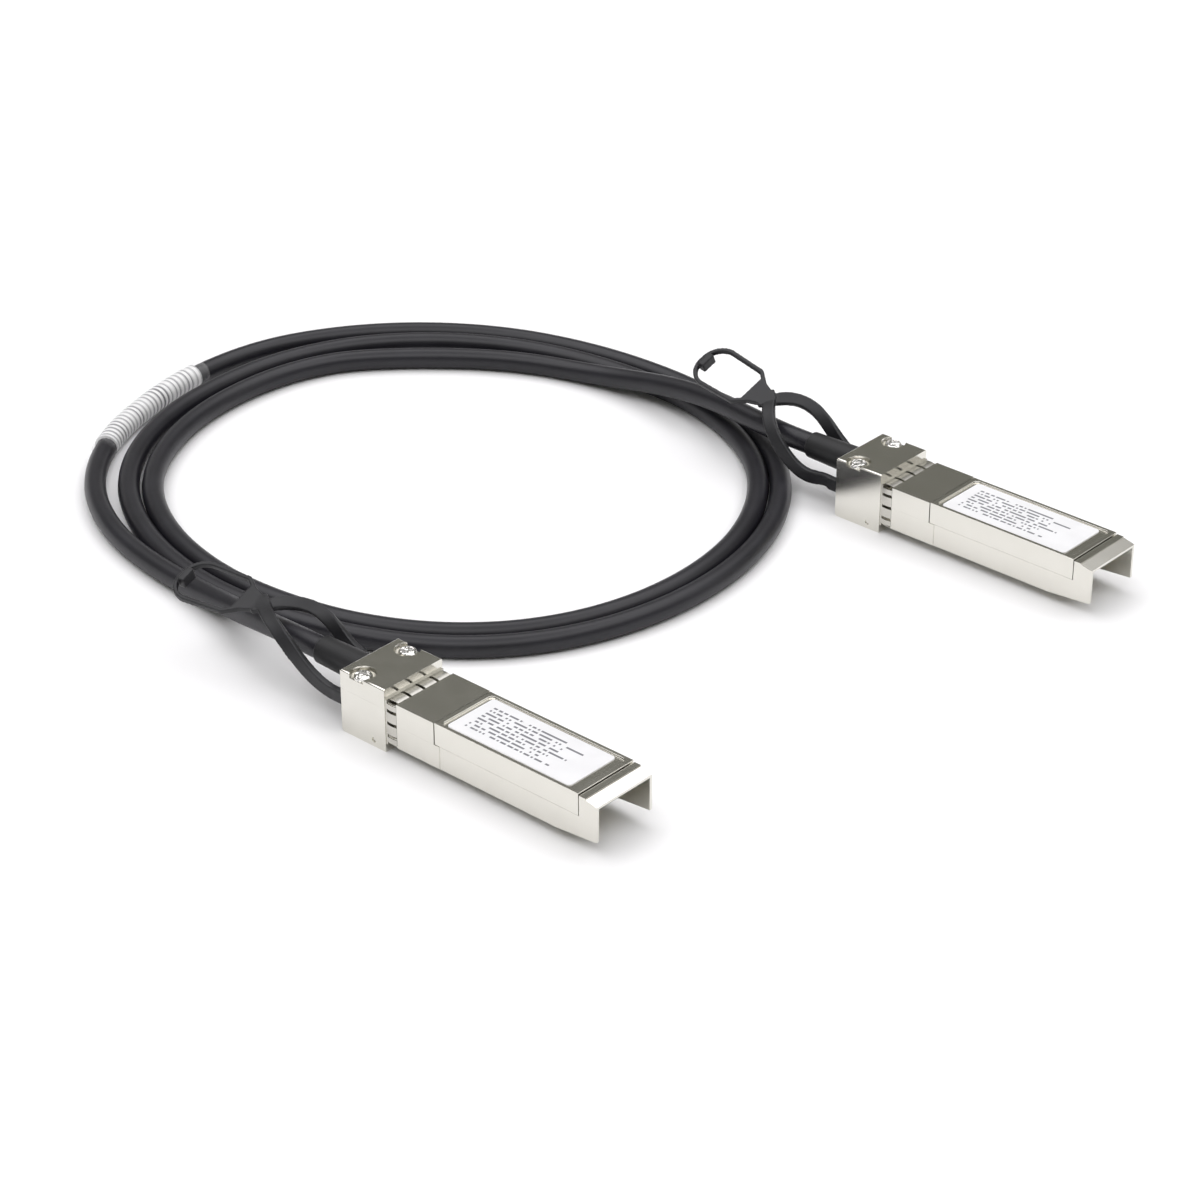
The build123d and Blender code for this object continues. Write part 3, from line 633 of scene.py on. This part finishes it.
# %% [markdown]
# The pieces inside the plug show only at its mouth, but each has its own finish: green laminate,
# gold on the pads, a brass ferrule, the wires' insulation and the chip's package.

# %% Inner pieces
pad_finish = plated("pad_gold", (0.86, 0.62, 0.26, 1), (0.78, 0.54, 0.20, 1), 0.18, 0.2)
brass_finish = plated("ferrule_brass", (0.70, 0.52, 0.25, 1), (0.60, 0.43, 0.20, 1), 0.3, 0.3)
card_finish = black_plastic("card_laminate", (0.010, 0.055, 0.022, 1), (0.016, 0.080, 0.030, 1),
                            0.35, 0.2, 0.01)
wire_finish = black_plastic("wire_insulation", (0.42, 0.44, 0.47, 1), (0.50, 0.52, 0.55, 1),
                            0.4, 0.3, 0.01)
chip_finish = black_plastic("chip_plastic", (0.020, 0.020, 0.022, 1), (0.030, 0.030, 0.032, 1),
                            0.5, 0.12, 0.01)
dress(pad_finish, *pads)
dress(brass_finish, *cad("cable_ferrule"))
dress(card_finish, *cad("paddle_card"))
dress(wire_finish, *cad("wire_pairs"))
dress(chip_finish, *cad("id_chip"))

# %% [markdown]
# The floor is plain and nearly white, and the sides of the plugs mirror it, which makes them
# bright. Their flat tops are dark in the photograph, because they mirror dim walls. So the room is
# a ring of light under the ceiling, over walls that are dim down to just above the table. The ring
# begins about where the sloping lip of the nose mirrors it. A soft light behind and to the right
# whitens the step in front of the rear block.

# %% Floor
FLOOR_SIZE = 8.0

floor_mesh = bpy.data.meshes.new("floor")
floor_shape = bmesh.new()
bmesh.ops.create_grid(floor_shape, x_segments=1, y_segments=1, size=FLOOR_SIZE / 2)
floor_shape.to_mesh(floor_mesh)
floor_shape.free()
floor = bpy.data.objects.new("floor", floor_mesh)
bpy.context.scene.collection.objects.link(floor)
floor_finish, place = new_finish("floor_white")
close_finish(floor_finish, Base_Color=place.noise(60.0).between(0.3, 0.7).mix(
    (0.91, 0.91, 0.91, 1), (0.93, 0.93, 0.93, 1)), Roughness=0.7, Specular_IOR_Level=0.2)
dress(floor_finish, floor)

# %% [markdown]
# The room is written as rows of height in degrees, brightness and share of blue. Area lights are
# given in metres and watts.

# %% Room and lights
ROOM_STRENGTH, ROOM_GREEN = 2.3, 0.99
ROOM_BY_HEIGHT = [(0, 0.48, 1.01), (7, 0.48, 1.01), (12, 0.07, 0.86), (39, 0.06, 0.86),
                  (48, 1.0, 1.01), (67, 1.0, 1.01), (75, 0.15, 1.01)]

world = bpy.data.worlds.new("studio")
world.use_nodes = True
world.node_tree.nodes.clear()
direction = Socket(world.node_tree).node("ShaderNodeTexCoord", output="Generated")
room = direction.node("ShaderNodeValToRGB", {"stops": [
    (math.sin(math.radians(height)), (grey, grey * ROOM_GREEN, grey * blue, 1))
    for height, grey, blue in ROOM_BY_HEIGHT]}, {0: direction.part(2)})
backdrop = room.node("ShaderNodeBackground", None, {"Color": room, "Strength": ROOM_STRENGTH})
backdrop.node("ShaderNodeOutputWorld", None, {"Surface": backdrop})
bpy.context.scene.world = world
bpy.context.scene.view_settings.view_transform = "Standard"


def soft_light(name, place, aim, size, watts):
    """A square soft light that looks from place to aim, both in metres."""
    data = bpy.data.lights.new(name, "AREA")
    data.shape, data.size, data.energy = "SQUARE", size, watts
    lamp = bpy.data.objects.new(name, data)
    lamp.location = place
    lamp.rotation_euler = (Vector(aim) - Vector(place)).to_track_quat("-Z", "Y").to_euler()
    bpy.context.scene.collection.objects.link(lamp)
    return lamp


soft_light("top_light", (-0.1, -0.15, 1.3), (-0.04, 0.0, 0.0), 1.2, 2.0)
soft_light("back_light", (0.7, 0.75, 0.6), (0.0, 0.0, 0.0), 0.5, 0.7)
